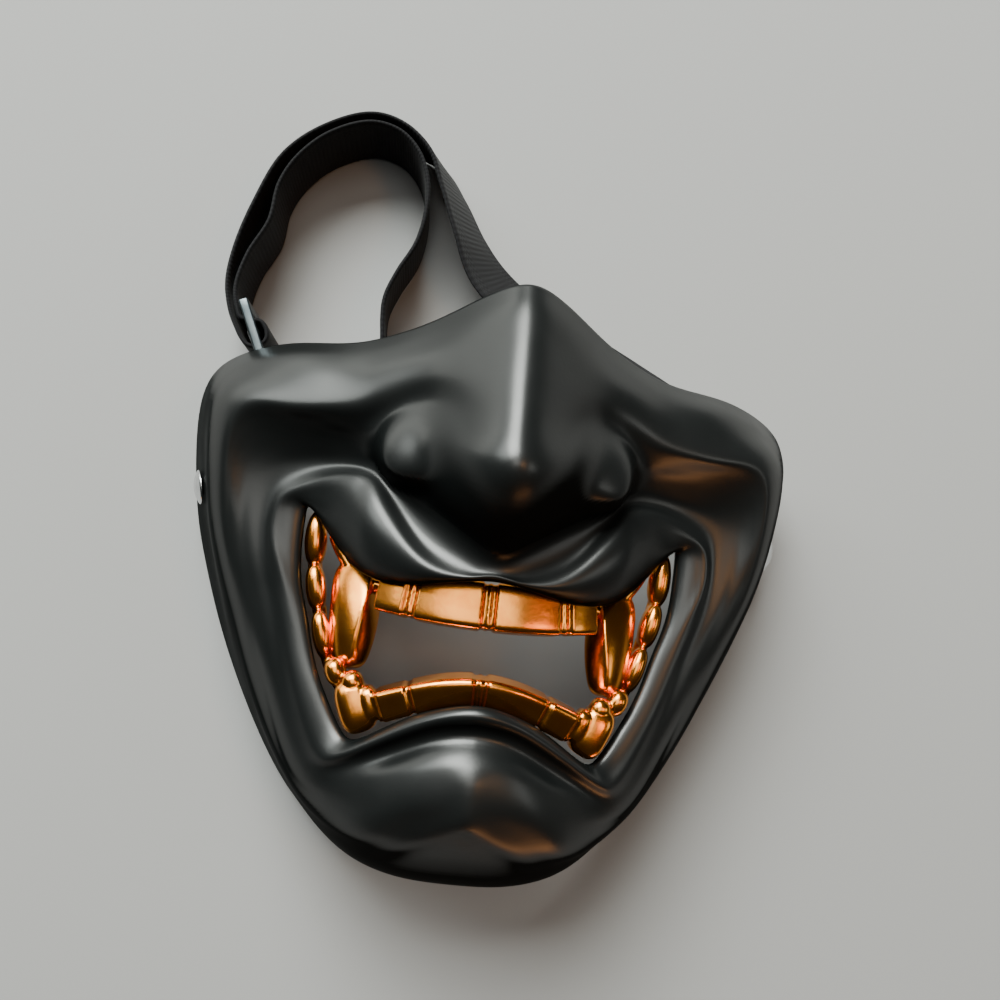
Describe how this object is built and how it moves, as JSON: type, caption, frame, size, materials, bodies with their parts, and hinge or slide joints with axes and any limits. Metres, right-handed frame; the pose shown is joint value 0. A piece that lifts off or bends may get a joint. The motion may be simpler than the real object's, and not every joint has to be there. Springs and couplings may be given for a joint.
{
  "type": "samurai face guard",
  "caption": "Demon-faced half mask for the lower face, a hollow glossy shell with an open plated mouth and an elastic head strap riveted to both sides.",
  "frame": {"origin": "on the floor under the middle of the whole object's box, as the guard lies on its back edges, face up", "axes": "X across the face (the wearer's right is -X), +Y up the face towards the nose bridge and the strap loop, +Z out of the face"},
  "size_m": [0.173, 0.2092, 0.0905],
  "materials": {
    "black_plastic": "moulded black plastic, satin gloss",
    "copper_plate": "plastic with a copper-gold mirror plating",
    "black_elastic": "woven black elastic webbing",
    "nickel": "nickel plate, slightly dull"
  },
  "bodies": {
    "root": {"mask_shell": "black_plastic", "upper_teeth": "copper_plate", "lower_teeth": "copper_plate", "strap_main": "black_elastic", "strap_anchor": "black_elastic", "slide_buckle": "nickel", "rivet_left": "nickel", "rivet_right": "nickel"}
  },
  "joints": []
}
